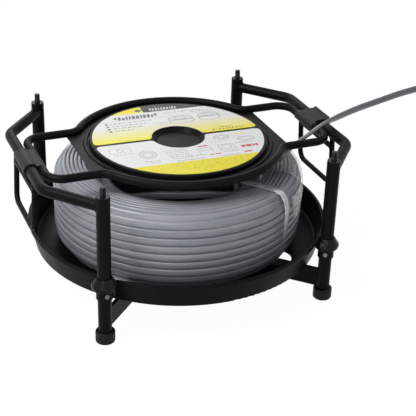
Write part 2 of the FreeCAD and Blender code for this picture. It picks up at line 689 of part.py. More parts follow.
# Side frames: two upper posts, a bent handle between them and a guide loop under the handle.
for side_name, side in SIDES:
    bushes = []
    posts = []
    for place_name, side_x, side_y in CORNERS:
        if side_x != side:
            continue
        post = ring("post_tube", LEG_BORE, LEG, POST_LOW, "post_top")
        node(f"upper_post_{place_name}", corner_place(post, side_x, side_y))
        posts.append(corner_place(cylinder("post_space", LEG, "post_top"), side_x, side_y))
        top_bush = turned("top_bush", (
            ("rod_diameter / 2 + slide_play", "post_top - bush_length"),
            (f"{LEG_BORE} - seat_play", "post_top - bush_length"), (f"{LEG_BORE} - seat_play", "post_top"),
            ("bush_flange_diameter / 2", "post_top"), ("bush_flange_diameter / 2", "post_top + bush_flange"),
            ("rod_diameter / 2 + slide_play", "post_top + bush_flange")))
        low_bush = ring("low_bush", "rod_diameter / 2 + slide_play", f"{LEG_BORE} - seat_play", POST_LOW,
                        f"{POST_LOW} + bush_length")
        bushes += [corner_place(top_bush, side_x, side_y), corner_place(low_bush, side_x, side_y)]
    node(f"guide_bushes_{side_name}", group("bush_group", bushes))

    half = value("post_spacing / 2")
    reach = side * value("handle_reach")
    corner = value("handle_corner")
    grip = [Vector(side * half, half, 0), Vector(reach, corner, 0), Vector(reach, -corner, 0),
            Vector(side * half, -half, 0)]
    bend = value("handle_bend")
    tube = bent_rod("handle_tube", rounded_route(grip, (bend, bend)), "handle_diameter / 2", "handle_wall")
    place(tube, "0", "0", "handle_height")
    node(f"handle_{side_name}", cut("handle", tube, *posts))

    # The loop hangs from the handle and leans out a little towards its lower run.
    half = value("guide_width / 2")
    drop = math.hypot(value("guide_drop"), value("guide_lean"))
    hoop = [Vector(-half, 0, 0), Vector(-half, -drop, 0), Vector(half, -drop, 0), Vector(half, 0, 0)]
    bend = value("guide_bend")
    loop_rod = bent_rod("guide_hoop", rounded_route(hoop, (bend, bend)), "guide_diameter / 2")
    rise = Vector(-side * value("guide_lean"), 0, value("guide_drop")).normalize()
    lean = Rotation(Vector(0, 1, 0), rise, Vector(0, 1, 0).cross(rise), "ZYX")
    loop_rod.Placement = Placement(Vector(reach, 0, value("handle_height")), lean)
    across = cross_y("guide_cross", "guide_diameter / 2", f"{side} * (handle_reach + guide_lean * "
                     "guide_cross_drop / guide_drop)", "handle_height - guide_cross_drop", "guide_width")
    grip_space = cross_y("grip_space", "handle_diameter / 2", f"{side} * handle_reach", "handle_height",
                         "guide_width * 1.5")
    node(f"guide_loop_{side_name}", cut("guide_loop", fused("guide_bars", loop_rod, across), grip_space))

# Lid frame: one closed rod, a ring with a rounded loop drawn out on the left and on the right.
ring_r = value("ring_radius")
branch = value("branch_spacing / 2")
end_x = value("lid_reach")
end_bend = value("lid_end_bend")
neck = value("neck_bend")
neck_x = math.sqrt((ring_r + neck) ** 2 - (branch + neck) ** 2)
leave = Vector(neck_x, branch + neck, 0) * (ring_r / (ring_r + neck))
neck_middle = Vector(neck_x, branch + neck, 0) - (
    (Vector(neck_x, branch + neck, 0).normalize() + Vector(0, 1, 0)).normalize() * neck)
bulge = end_bend * math.sqrt(0.5)


def flip(spot, x, y):
    return Vector(spot.x * x, spot.y * y, 0)


def quarter(x, y, outward):
    """A quarter of the rod, from the end rod's middle to the ring's top, or the other way."""
    middle = Vector(end_x - end_bend + bulge, branch - end_bend + bulge, 0)
    pieces = [
        (Vector(end_x, 0, 0), None, Vector(end_x, branch - end_bend, 0)),
        (Vector(end_x, branch - end_bend, 0), middle, Vector(end_x - end_bend, branch, 0)),
        (Vector(end_x - end_bend, branch, 0), None, Vector(neck_x, branch, 0)),
        (Vector(neck_x, branch, 0), neck_middle, leave),
    ]
    if outward:
        pieces = [(c, b, a) for a, b, c in pieces[::-1]]
    made = []
    for a, b, c in pieces:
        if b is None:
            made.append(Part.LineSegment(flip(a, x, y), flip(c, x, y)))
        else:
            made.append(Part.Arc(flip(a, x, y), flip(b, x, y), flip(c, x, y)))
    return made


lid_route = quarter(1, 1, False)
lid_route.append(Part.Arc(leave, Vector(0, ring_r, 0), flip(leave, -1, 1)))
lid_route += quarter(-1, 1, True) + quarter(-1, -1, False)
lid_route.append(Part.Arc(flip(leave, -1, -1), Vector(0, -ring_r, 0), flip(leave, 1, -1)))
lid_route += quarter(1, -1, True)
lid_frame = place(bent_rod("lid_rod_frame", lid_route, "lid_rod / 2"), "0", "0", "handle_height")
node("lid_frame", lid_frame)

# Lid plate: pressed sheet inside the rod, with a bead, a raised disc and a dish in its middle.
BEAD = "bead_radius"
BEAD_TOP = f"{FLANGE_TOP} + bead_rise"
DISH_TOP = f"{DISC_TOP} - dish_depth"
UNDER_DISC = f"{DISC_TOP} - lid_sheet"
UNDER_DISH = f"{DISH_TOP} - lid_sheet"
PAN_REACH = "flange_reach + branch_spacing / 2"
pan = turned("lid_pan", (
    ("0", UNDER_DISH), ("dish_floor + dish_round", UNDER_DISH), ("dish_radius + dish_round", UNDER_DISC),
    ("disc_radius - disc_slope - lid_sheet", UNDER_DISC), ("disc_radius - lid_sheet", FLANGE_LOW),
    (PAN_REACH, FLANGE_LOW), (PAN_REACH, FLANGE_TOP),
    (f"{BEAD} + bead_width / 2 + bead_slope", FLANGE_TOP), (f"{BEAD} + bead_width / 2", BEAD_TOP),
    (f"{BEAD} - bead_width / 2", BEAD_TOP), (f"{BEAD} - bead_width / 2 - bead_slope", FLANGE_TOP),
    ("disc_radius", FLANGE_TOP), ("disc_radius - disc_slope", DISC_TOP), ("dish_radius", DISC_TOP),
    ("dish_floor", DISH_TOP), ("0", DISH_TOP)),
    (("disc_round", (("disc_radius - disc_slope", DISC_TOP),)),
     ("dish_round", (("dish_radius", DISC_TOP),))))
LIMIT = f"{DISC_TOP} + lid_sheet"
round_part = cylinder("flange_round", "ring_radius", LIMIT)
square_part = box("flange_square", "2 * flange_reach", "branch_spacing", LIMIT, "-flange_reach",
                  "-branch_spacing / 2")
flat_limit = box("flange_limit", "2 * flange_reach", "2 * ring_radius", LIMIT, "-flange_reach",
                 "-ring_radius")
shape_of_flange = common("flange_shape", fused("flange_outline", round_part, square_part), flat_limit)
trimmed = common("lid_sheet_metal", pan, shape_of_flange)
lid_plate = cut("lid_plate_seated", trimmed, lid_frame)
node("lid_plate", lid_plate)

# Two half-round labels on the disc, with a gap between them and rounded corners.
for half_name, side in (("front", -1), ("back", 1)):
    face = ring("label_ring", "label_inner", "label_outer", DISC_TOP, f"{DISC_TOP} + label_thick")
    north = "label_gap / 2" if side > 0 else "-label_outer - label_gap / 2"
    keep = box("label_half", "2 * label_outer", "label_outer", "label_outer", "-label_outer", north,
               f"{DISC_TOP} - label_outer / 2")
    half_label = common("label_half_ring", face, keep)
    doc.recompute()
    upright = [i for i, edge in enumerate(half_label.Shape.Edges, 1)
               if edge.Curve.TypeId == "Part::GeomLine" and abs(edge.tangentAt(0).z) > 0.9]
    label = doc.addObject("Part::Fillet", "label")
    label.Base = half_label
    label.Edges = [(i, value("label_round"), value("label_round")) for i in upright]
    node(f"label_{half_name}", place(label, turn=Rotation(Vector(0, 0, 1), value("label_turn"))))

# Hinge clip: turns on the left handle and hooks round the lid's left end rod.
axis_height = "handle_height"
grip_bore = "handle_diameter / 2 + slide_play"
eye_bore = "lid_rod / 2 + seat_play"
barrel = cross_y("hinge_barrel", f"{grip_bore} + clip_wall", "-handle_reach", axis_height, "clip_length")
web = box("hinge_web", "handle_reach - lid_reach", "clip_length", f"clip_top + {eye_bore} + clip_wall",
          "-handle_reach", "-clip_length / 2", f"{axis_height} - ({eye_bore}) - clip_wall")
hook = box("hinge_hook", "clip_hook", "clip_length", f"{eye_bore} + clip_wall",
           "-lid_reach", "-clip_length / 2", f"{axis_height} - ({eye_bore}) - clip_wall")
hook_limit = box("hinge_hook_space", "2 * clip_hook", "2 * clip_length", "lid_rod * 2", "-lid_reach",
                 "-clip_length", f"{axis_height} - lid_rod / 4")
open_hook = cut("hinge_hook_open", hook, hook_limit)
grip_hole = cross_y("hinge_grip_hole", grip_bore, "-handle_reach", axis_height, "2 * clip_length")
eye_hole = cross_y("hinge_eye_hole", eye_bore, "-lid_reach", axis_height, "2 * clip_length")
hinge = cut("hinge_clip_body", fused("hinge_clip_block", barrel, web, open_hook), grip_hole, eye_hole)
node("hinge_clip", place(hinge, "0", "hinge_shift", "0"))

# Latch clip: turns on the lid's right end rod, with a saddle over the right handle.
saddle = "handle_diameter / 2 + latch_gap"
skin = f"{saddle} + clip_wall - latch_gap / 2"
PAD_TOP = "handle_height + latch_top"
LATCH_OUT = f"handle_reach + {skin}"
latch_block = padded("latch_block", (
    ("lid_reach", axis_height), ("lid_reach", f"{axis_height} + {eye_bore} + latch_wall"),
    (f"lid_reach + {saddle} / 2", f"{PAD_TOP} - pad_fall"), (f"{LATCH_OUT} - latch_lip_width", PAD_TOP),
    (f"{LATCH_OUT} - latch_lip_width / 2", f"{PAD_TOP} + latch_lip"), (LATCH_OUT, f"{PAD_TOP} + latch_lip"),
    (LATCH_OUT, f"{axis_height} - latch_skirt"),
    (f"handle_reach + {saddle}", f"{axis_height} - latch_skirt"),
    (f"handle_reach + {saddle}", axis_height)), "latch_width")
latch_eye = cross_y("latch_eye", f"{eye_bore} + latch_wall", "lid_reach", axis_height, "clip_length")
saddle_space = cross_y("saddle_space", saddle, "handle_reach", axis_height, "2 * clip_length")
eye_space = cross_y("eye_space", eye_bore, "lid_reach", axis_height, "2 * clip_length")
latch = cut("latch_clip_body", fused("latch_clip_block", latch_block, latch_eye), saddle_space, eye_space)
node("latch_clip", place(latch, "0", "latch_shift", "0"))

# Lock collars: each drops over its sleeve and is cut back where it faces the tray rim.
COLLAR_SEAT = "sleeve_top + end_gap"
COLLAR_TOP = f"{COLLAR_SEAT} + collar_lip"
COLLAR_BORE = f"{SLEEVE} + slide_play"
COLLAR_FOOT = "collar_low + collar_foot_height"
COLLAR_BODY = f"{COLLAR_FOOT} + collar_groove_height"
for i, (place_name, side_x, side_y) in enumerate(CORNERS):
    hoop = turned("collar_ring", (
        (COLLAR_BORE, "collar_low"), ("collar_foot / 2", "collar_low"), ("collar_foot / 2", COLLAR_FOOT),
        ("collar_groove / 2", COLLAR_FOOT), ("collar_groove / 2", COLLAR_BODY),
        ("collar_diameter / 2", COLLAR_BODY),
        ("collar_diameter / 2", f"{COLLAR_TOP} - collar_slope"), ("collar_neck / 2", COLLAR_TOP),
        (f"{LEG} + collar_clearance", COLLAR_TOP), (f"{LEG} + collar_clearance", COLLAR_SEAT),
        (COLLAR_BORE, COLLAR_SEAT)),
        (("collar_round", (("collar_foot / 2", "collar_low"),
                           ("collar_diameter / 2", f"{COLLAR_TOP} - collar_slope"))),))
    aim = value("tab_angle") + 90 * i
    place(hoop, f"{side_x} * post_spacing / 2", f"{side_y} * post_spacing / 2", "0",
          Rotation(Vector(0, 0, 1), aim + 180))
    start = f"{SLEEVE} + tab_gap"
    east = f"{side_x} * post_spacing / 2 + ({start}) * cos({aim} deg) + tab_width / 2 * sin({aim} deg)"
    north = f"{side_y} * post_spacing / 2 + ({start}) * sin({aim} deg) - tab_width / 2 * cos({aim} deg)"
    tab = box("collar_tab", f"tab_reach - ({start})", "tab_width",
              f"tab_drop + ({COLLAR_TOP} - collar_low) / 2", east, north, "collar_low - tab_drop",
              Rotation(Vector(0, 0, 1), aim))
    rim_space = cylinder("rim_space", "tray_radius + collar_rim_gap", "post_top")
    node(f"lock_collar_{place_name}", cut("lock_collar", fused("collar_block", hoop, tab), rim_space))

# Free end of the cable. It leaves the bundle under the lid, comes up through the right opening of the
# lid frame, crosses the right handle and runs off level to the right.
TAIL = ((118, -75.5, 186), (140.5, -67.5, 190.5), (162.5, -60.6, 202.8), (185, -60.8, 219),
        (210, -54.6, 229.2), (238.5, -40.5, 232), (281, -26, 234), (328, -21, 239.5), (374, -21, 245.5),
        (411, -22, 250))
tail_spots = [Vector(*spot) for spot in TAIL]
tail_edges = []
last = tail_spots[0]
for before, spot, after in zip(tail_spots, tail_spots[1:], tail_spots[2:]):
    shorter = min((spot - before).Length, (after - spot).Length)
    turn = (spot - before).getAngle(after - spot)
    radius = 0.45 * shorter / math.tan(turn / 2)
    print(f"tail: run {(spot - before).Length:.1f}, turn {math.degrees(turn):.1f}, radius {radius:.1f}")
    start, middle, end = bend_points(before, spot, after, radius)
    tail_edges += [Part.LineSegment(last, start), Part.Arc(start, middle, end)]
    last = end
tail_edges.append(Part.LineSegment(last, tail_spots[-1]))
print(f"tail: run {(tail_spots[-1] - tail_spots[-2]).Length:.1f}")
tail_route = Part.Wire([edge.toShape() for edge in tail_edges])
tail_section = Part.Wire(Part.Circle(tail_spots[0], tail_spots[1] - tail_spots[0],
                                     value("cable_width / 2")).toShape())
tail = doc.addObject("Part::Feature", "wire_tail")
tail.Shape = tail_route.makePipeShell([tail_section], True, False)
tail.Placement = Placement()
node("wire_tail", tail)
tube_volume = math.pi * value("cable_width / 2") ** 2 * tail_route.Length
print(f"tail: length {tail_route.Length:.1f}, volume ratio {tail.Shape.Volume / tube_volume:.5f}")

doc.recompute()
for item in doc.Objects:
    if "Invalid" in item.State or "Error" in item.State:
        raise RuntimeError(f"{item.Name} ({item.Label}) failed: {item.State}")
for label, item in nodes.items():
    shape = item.Shape
    if shape.isNull() or not shape.isValid() or not shape.Solids:
        raise RuntimeError(f"{label} has no valid solid")
for label, item in nodes.items():
    item.Shape.exportStep(f"parts/{label}.step")
print(f"{len(nodes)} nodes, {sum(len(item.Shape.Solids) for item in nodes.values())} solids")
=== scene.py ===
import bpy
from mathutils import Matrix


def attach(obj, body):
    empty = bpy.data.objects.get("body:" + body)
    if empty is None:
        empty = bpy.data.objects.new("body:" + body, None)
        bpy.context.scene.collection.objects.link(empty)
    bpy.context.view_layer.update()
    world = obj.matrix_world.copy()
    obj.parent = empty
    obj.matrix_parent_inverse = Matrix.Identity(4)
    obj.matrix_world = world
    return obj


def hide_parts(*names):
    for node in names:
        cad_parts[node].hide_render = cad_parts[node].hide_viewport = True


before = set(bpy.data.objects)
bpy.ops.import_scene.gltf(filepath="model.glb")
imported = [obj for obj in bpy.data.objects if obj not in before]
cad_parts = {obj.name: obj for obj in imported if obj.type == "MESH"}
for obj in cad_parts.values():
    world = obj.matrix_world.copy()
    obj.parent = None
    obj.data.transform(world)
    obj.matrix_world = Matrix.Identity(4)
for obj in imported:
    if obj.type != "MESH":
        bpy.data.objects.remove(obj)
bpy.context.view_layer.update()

import math
import random

import bpy
from mathutils import Matrix, Vector, noise

scene = bpy.context.scene
scene.view_settings.view_transform = "Standard"
Z = Vector((0, 0, 1))


def shown(name, data, body=None, finish=None):
    """New object in the scene, riding on a body."""
    piece = bpy.data.objects.new(name, data)
    scene.collection.objects.link(piece)
    if finish:
        data.materials.append(finish)
    if body:
        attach(piece, body)
    return piece


def mesh_of(name, points, faces, smooth=True):
    mesh = bpy.data.meshes.new(name)
    mesh.from_pydata([tuple(p) for p in points], [], faces)
    mesh.validate()
    if smooth:
        mesh.shade_smooth()
    return mesh


def loft(rings, closed_path=False):
    """Points and faces of a skin through rings of equal count."""
    points = [p for ring in rings for p in ring]
    n = len(rings[0])
    faces = []
    last = len(rings) if closed_path else len(rings) - 1
    for i in range(last):
        a = i * n
        b = (i + 1) % len(rings) * n
        faces += [(a + j, a + (j + 1) % n, b + (j + 1) % n, b + j) for j in range(n)]
    if not closed_path:
        faces.append(tuple(range(n))[::-1])
        faces.append(tuple(range(len(points) - n, len(points))))
    return points, faces


def oval(wide, thick, count=20, power=2.6):
    """Section with flat sides and rounded ends."""
    spots = []
    for i in range(count):
        a = 2 * math.pi * i / count
        c, s = math.cos(a), math.sin(a)
        spots.append((wide * math.copysign(abs(c) ** (2 / power), c),
                      thick * math.copysign(abs(s) ** (2 / power), s)))
    return spots


# Camera
CAMERA_SPOT = (-0.5279, -1.3551, 0.8587)
FRAME_WIDTH = 416
FOCAL_PIXELS = 1079.8
YAW, PITCH, ROLL = (math.radians(a) for a in (23.138, 27.705, 1.867))
look = Vector((math.sin(YAW) * math.cos(PITCH), math.cos(YAW) * math.cos(PITCH), -math.sin(PITCH)))
level = Vector((math.cos(YAW), -math.sin(YAW), 0))
rise = level.cross(look)
across = level * math.cos(ROLL) + rise * math.sin(ROLL)
upward = rise * math.cos(ROLL) - level * math.sin(ROLL)
lens = bpy.data.cameras.new("camera")
lens.sensor_width = 36
lens.lens = 36 * FOCAL_PIXELS / FRAME_WIDTH
lens.clip_start = 0.05
camera = shown("camera", lens)
camera.matrix_world = Matrix.Translation(CAMERA_SPOT) @ Matrix(
    (across, upward, -look)).transposed().to_4x4()
scene.camera = camera


# Materials
class Finish:
    """Material whose nodes are joined as they are added. Coordinates are the object's own, in metres."""

    def __init__(self, name):
        self.made = bpy.data.materials.new(name)
        self.made.use_nodes = True
        self.tree = self.made.node_tree
        self.shader = self.tree.nodes["Principled BSDF"]
        self.place = self.add("TexCoord").outputs["Object"]

    def add(self, kind, inputs=None, **settings):
        item = self.tree.nodes.new("ShaderNode" + kind)
        for name, setting in settings.items():
            setattr(item, name, setting)
        for name, given in (inputs or {}).items():
            self.plug(item.inputs[name], given)
        return item

    def plug(self, socket, given):
        if isinstance(given, bpy.types.NodeSocket):
            self.tree.links.new(given, socket)
        elif isinstance(given, tuple) and len(given) == 3 and socket.type == "RGBA":
            socket.default_value = (*given, 1)
        else:
            socket.default_value = given

    def noise(self, scale, detail=3.0, rough=0.5, place=None):
        return self.add("TexNoise", {"Vector": place or self.place, "Scale": scale, "Detail": detail,
                                     "Roughness": rough}).outputs["Fac"]

    def ramp(self, fac, low, high, start=0.0, end=1.0):
        """Number from start to end as fac goes from low to high."""
        return self.add("MapRange", {"Value": fac, "From Min": low, "From Max": high, "To Min": start,
                                     "To Max": end}).outputs["Result"]

    def mix(self, fac, first, second):
        return self.add("Mix", {0: fac, 6: first, 7: second}, data_type="RGBA").outputs[2]

    def math(self, kind, first, second=0.0):
        return self.add("Math", {0: first, 1: second}, operation=kind).outputs[0]

    def axes(self):
        split = self.add("SeparateXYZ", {"Vector": self.place})
        return split.outputs["X"], split.outputs["Y"], split.outputs["Z"]

    def bump(self, height, strength, distance, under=None):
        inputs = {"Height": height, "Strength": strength, "Distance": distance}
        if under:
            inputs["Normal"] = under
        return self.add("Bump", inputs).outputs["Normal"]

    def set(self, **values):
        for name, given in values.items():
            self.plug(self.shader.inputs[name.replace("_", " ")], given)
        return self.made


def powder_coat(name, tone, rough):
    """Baked powder coat with fine orange peel and faint handling marks."""
    f = Finish(name)
    cloud = f.noise(9, 4)
    peel = f.noise(650, 2)
    color = f.mix(f.ramp(cloud, 0.35, 0.7), tuple(t * 0.75 for t in tone), tuple(t * 1.35 for t in tone))
    normal = f.bump(peel, 0.35, 0.00025)
    return f.set(Base_Color=color, Roughness=f.ramp(f.noise(45, 4), 0.3, 0.7, rough - 0.06, rough + 0.07),
                 Specular_IOR_Level=0.05, Normal=normal)


def rubber():
    f = Finish("moulded_rubber")
    dust = f.ramp(f.noise(120, 5), 0.45, 0.75)
    color = f.mix(dust, (0.006, 0.006, 0.006), (0.018, 0.0175, 0.017))
    return f.set(Base_Color=color, Roughness=f.ramp(dust, 0, 1, 0.5, 0.7), Specular_IOR_Level=0.14,
                 Normal=f.bump(f.noise(1400, 3), 0.4, 0.0002))


def plastic(name, low, high, rough, grain, grain_depth, shine=0.5):
    f = Finish(name)
    color = f.mix(f.ramp(f.noise(30, 3), 0.35, 0.7), low, high)
    return f.set(Base_Color=color, Roughness=f.ramp(f.noise(80, 3), 0.3, 0.7, rough - 0.04, rough + 0.04),
                 Specular_IOR_Level=shine, Normal=f.bump(f.noise(grain, 2), 0.5, grain_depth))


def metal(name, low, high, rough):
    f = Finish(name)
    color = f.mix(f.ramp(f.noise(160, 5), 0.3, 0.75), low, high)
    worn = f.ramp(f.noise(300, 4), 0.3, 0.7, rough - 0.08, rough + 0.1)
    return f.set(Base_Color=color, Metallic=1.0, Roughness=worn,
                 Normal=f.bump(f.noise(900, 3), 0.2, 0.0001))


THREAD_PITCH = 0.0014
THREAD_START = 0.2245


def rod_finish():
    """Blackened rod with a fine thread near its tip."""
    f = Finish("blackened_rod")
    height = f.axes()[2]
    thread = f.math("SINE", f.math("MULTIPLY", height, 2 * math.pi / THREAD_PITCH))
    reach = f.ramp(height, THREAD_START, THREAD_START + 0.001)
    color = f.mix(f.ramp(f.noise(90, 4), 0.3, 0.7), (0.005, 0.005, 0.0055), (0.013, 0.013, 0.014))
    worn = f.ramp(f.noise(200, 3), 0.3, 0.7, 0.3, 0.45)
    fine = f.bump(f.noise(800, 2), 0.3, 0.0001)
    return f.set(Base_Color=color, Roughness=worn, Specular_IOR_Level=0.18,
                 Normal=f.bump(f.math("MULTIPLY", thread, reach), 0.8, 0.0004, fine))


def sheath(name, painted_shade_factor):
    """Slightly bluish grey vinyl, a little uneven from turn to turn. Its colours are multiplied by the second
    argument, which below 1 paints shade on it.
    """
    f = Finish(name)
    stretched = f.add("Mapping", {"Vector": f.place, "Scale": (9.0, 9.0, 82.0)}).outputs["Vector"]
    cloud = f.noise(1.0, 4, 0.6, stretched)
    color = f.mix(f.ramp(cloud, 0.3, 0.72), tuple(painted_shade_factor * t for t in (0.198, 0.212, 0.245)),
                  tuple(painted_shade_factor * t for t in (0.3, 0.311, 0.336)))
    pale = tuple(painted_shade_factor * t for t in (0.34, 0.345, 0.35))
    color = f.mix(f.ramp(f.noise(140, 4), 0.5, 0.8, 0.0, 0.25), color, pale)
    fine = f.bump(f.noise(420, 3), 0.25, 0.0003)
    return f.set(Base_Color=color, Roughness=f.ramp(f.noise(35, 4), 0.3, 0.7, 0.3, 0.46), Coat_Weight=0.25,
                 Coat_Roughness=0.12, Normal=f.bump(f.noise(60, 3), 0.2, 0.0012, fine))


HEM_WAY = (0.606, 0.7955)


def clear_film(name, tone, alpha, rough, creases, low=0.0, high=0.001, hem=False):
    """Clear film, milky at its creases, with painted sheen by height: light and opaque above high, fading to
    see-through below low. A hem is a milky line.
    """
    f = Finish(name)
    x, y, z = f.axes()
    folds = f.noise(creases, 4, 0.6)
    milk_and_painted_sheen = f.ramp(folds, 0.35, 0.7, alpha * 0.6, min(1.0, alpha * 1.4))
    # Painted sheen and shade: the film is opaque and light above the height high and turns see-through below
    # low.
    milk_and_painted_sheen = f.math("MULTIPLY", milk_and_painted_sheen, f.ramp(z, low, high, 0.12, 1.0))
    if hem:
        along_x, along_y = f.math("MULTIPLY", x, HEM_WAY[0]), f.math("MULTIPLY", y, HEM_WAY[1])
        off = f.math("ABSOLUTE", f.math("ADD", along_x, along_y))
        milk_and_painted_sheen = f.math("MAXIMUM", milk_and_painted_sheen, f.ramp(off, 0.0006, 0.0024, 0.6, 0.0))
    return f.set(Base_Color=f.mix(f.ramp(folds, 0.3, 0.7), tuple(t * 0.86 for t in tone), tone), Alpha=milk_and_painted_sheen,
                 Roughness=rough, IOR=1.45, Normal=f.bump(folds, 0.5, 0.0012))


PRINT_SKEW = math.radians(2.3)


def card(name, back):
    """Coated card: white ground with yellow areas. Distances are read along the skewed print."""
    f = Finish(name)
    turned = f.add("Mapping", {"Vector": f.place, "Rotation": (0.0, 0.0, PRINT_SKEW)}).outputs["Vector"]
    split = f.add("SeparateXYZ", {"Vector": turned})
    x, y = split.outputs["X"], split.outputs["Y"]
    white = f.mix(f.ramp(f.noise(30, 3), 0.3, 0.7), (0.64, 0.64, 0.635), (0.7, 0.7, 0.695))
    if back:
        fade = f.ramp(y, 0.006, 0.058, 1.0, 0.0)
        color = f.mix(fade, white, (0.74, 0.66, 0.02))
        strip = f.ramp(y, 0.1005, 0.1009)
        color = f.mix(strip, color, (0.009, 0.009, 0.01))
        patch = f.math("MULTIPLY", strip, f.ramp(x, -0.0225, -0.0229))
        color = f.mix(patch, color, (0.74, 0.64, 0.004))
    else:
        color = f.mix(f.ramp(y, -0.0838, -0.0842), white, (0.68, 0.59, 0.01))
    return f.set(Base_Color=color, Roughness=f.ramp(f.noise(60, 3), 0.3, 0.7, 0.3, 0.42),
                 Specular_IOR_Level=0.2, Normal=f.bump(f.noise(240, 2), 0.15, 0.0002))


COAT = powder_coat("black_powder_coat", (0.0052, 0.0051, 0.0054), 0.36)
RUBBER = rubber()
ROD = rod_finish()
ZINC = metal("zinc_plate", (0.42, 0.42, 0.4), (0.68, 0.68, 0.66), 0.32)
SCREW = metal("dark_screw", (0.1, 0.1, 0.1), (0.32, 0.32, 0.31), 0.24)
NYLON = plastic("natural_nylon", (0.66, 0.65, 0.6), (0.76, 0.75, 0.71), 0.45, 900, 0.0002)
BUSH = plastic("bush_plastic", (0.006, 0.006, 0.0065), (0.012, 0.012, 0.013), 0.34, 1100, 0.0001, 0.16)
COLLAR = plastic("collar_plastic", (0.002, 0.002, 0.0022), (0.004, 0.004, 0.0044), 0.1, 190, 0.0016, 0.16)
CLIP = plastic("clip_plastic", (0.009, 0.009, 0.0095), (0.016, 0.016, 0.017), 0.5, 1500, 0.0003, 0.16)
SHEATH = sheath("vinyl_sheath", 1.0)
# The free end is the same vinyl at 0.4 of its colour: painted shade.
FREE_END_PAINTED_SHADE = sheath("vinyl_free_end_painted_shade", 0.4)
# Clear straps with painted sheen: light and opaque above 0.145 m, fading to see-through below 0.098 m.
STRAP = clear_film("clear_strap", (0.97, 0.92, 0.95), 1.2, 0.2, 160, 0.098, 0.145)
FILM = clear_film("clear_film", (0.82, 0.83, 0.82), 0.26, 0.16, 90, hem=True)
FLAP = clear_film("film_flap", (0.74, 0.74, 0.7), 0.62, 0.18, 95)

finishes = (("foot_", RUBBER), ("guide_rod_", ROD), ("sleeve_screws", SCREW), ("pivot_", ZINC),
            ("glide_", NYLON), ("turntable_bush", NYLON), ("guide_bushes_", BUSH), ("lock_collar_", COLLAR),
            ("hinge_clip", CLIP), ("latch_clip", CLIP), ("label_front", card("card_front", False)),
            ("label_back", card("card_back", True)), ("", COAT))
for name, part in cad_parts.items():
    finish = next(made for start, made in finishes if name.startswith(start))
    for place in part.material_slots:
        place.material = finish

# Free end of the cable: one smooth spline, then a flat tube that leans over and back along it.
ROUTE = ((0.118, -0.0755, 0.186), (0.1405, -0.0675, 0.1905), (0.1625, -0.0596, 0.2028),
         (0.185, -0.0592, 0.2148), (0.21, -0.0538, 0.2258), (0.2385, -0.0405, 0.2263),
         (0.281, -0.026, 0.2298), (0.328, -0.021, 0.2366), (0.374, -0.021, 0.2463), (0.411, -0.022, 0.25))
line = bpy.data.curves.new("tail_line", "CURVE")
line.dimensions = "3D"
line.resolution_u = 14
spline = line.splines.new("NURBS")
spline.points.add(len(ROUTE) - 1)
for point, spot in zip(spline.points, ROUTE):
    point.co = (*spot, 1)
spline.order_u = 3
spline.use_endpoint_u = True
guide = bpy.data.objects.new("tail_line", line)
scene.collection.objects.link(guide)
read = bpy.data.meshes.new_from_object(guide.evaluated_get(bpy.context.evaluated_depsgraph_get()))
TAIL = [v.co.copy() for v in read.vertices]
bpy.data.objects.remove(guide)
bpy.data.meshes.remove(read)


def ease(t):
    t = min(1.0, max(0.0, t))
    return t * t * (3 - 2 * t)


def headings(path):
    ends = [path[0]] + list(path) + [path[-1]]
    return [(b - a).normalized() for a, b in zip(ends, ends[2:])]


def along(path, places, frames):
    """Ring of points about each point of the path."""
    return [[p + side * a + top * b for a, b in places] for p, (side, top) in zip(path, frames)]


tail_frames = []
for i, (p, way) in enumerate(zip(TAIL, headings(TAIL))):
    t = i / (len(TAIL) - 1)
    lift = (Z - way * way.z).normalized()
    side = way.cross(lift)
    turn = math.radians(10 + 50 * ease((t - 0.05) / 0.2) - 44 * ease((t - 0.36) / 0.24))
    wide = lift * math.cos(turn) + side * math.sin(turn)
    tail_frames.append((wide, way.cross(wide)))
skin = loft(along(TAIL, oval(0.0058, 0.003, 24, 2.5), tail_frames))
# The tail wears the darker copy of the vinyl: painted shade.
tail = shown("cable_tail", mesh_of("cable_tail", *skin), "lid", FREE_END_PAINTED_SHADE)
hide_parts("wire_tail")

# Bundle: the outer turns climb, cross the shoulder and go in over the top, and one more run lines the bore.
STEPS = 144
STRAPS = (math.radians(-54), math.radians(126))
STRAP_REACH = 0.021
STRAP_DENT = 0.0062
STRAP_SQUEEZE = 0.0016


def wound(rows, jitter):
    """Path of one flat cable through rows of (radius, height, lean in degrees), one row a turn."""
    path = []
    for i in range((len(rows) - 1) * STEPS + 1):
        row, part = divmod(i / STEPS, 1)
        row = int(row)
        a = rows[row]
        b = rows[min(row + 1, len(rows) - 1)]
        helix = min(1.0, 0.3 + 0.1 * row)
        t = helix * part + (1 - helix) * ease((part - 0.74) / 0.24)
        angle = 2 * math.pi * part + math.radians(160)
        radius, height, lean = (u + (v - u) * t for u, v in zip(a, b))
        flat = Vector((math.cos(angle), math.sin(angle), 0))
        far = noise.noise(Vector((flat.x * 1.6 + 7, flat.y * 1.6, height * 22 + radius * 9)))
        near = noise.noise(flat * 4.2 + Vector((0, 0, height * 60 + radius * 45 + 3)))
        calm = jitter * min(1.0, 0.15 + row + part)
        radius += calm * (0.0011 * far + 0.0005 * near)
        height += calm * (0.0010 * noise.noise(flat * 1.3 + Vector((0, 4, height * 9))) + 0.0003 * near)
        lean += jitter * 3 * near
        press = sum(math.exp(-(math.remainder(angle - aim, 2 * math.pi) * radius / STRAP_REACH) ** 2)
                    for aim in STRAPS)
        height -= STRAP_DENT * press * ease((height - 0.152) / 0.012)
        radius -= STRAP_SQUEEZE * press * ease((radius - 0.172) / 0.006) * ease((height - 0.12) / 0.04)
        path.append((angle, radius, height, lean))
    return path


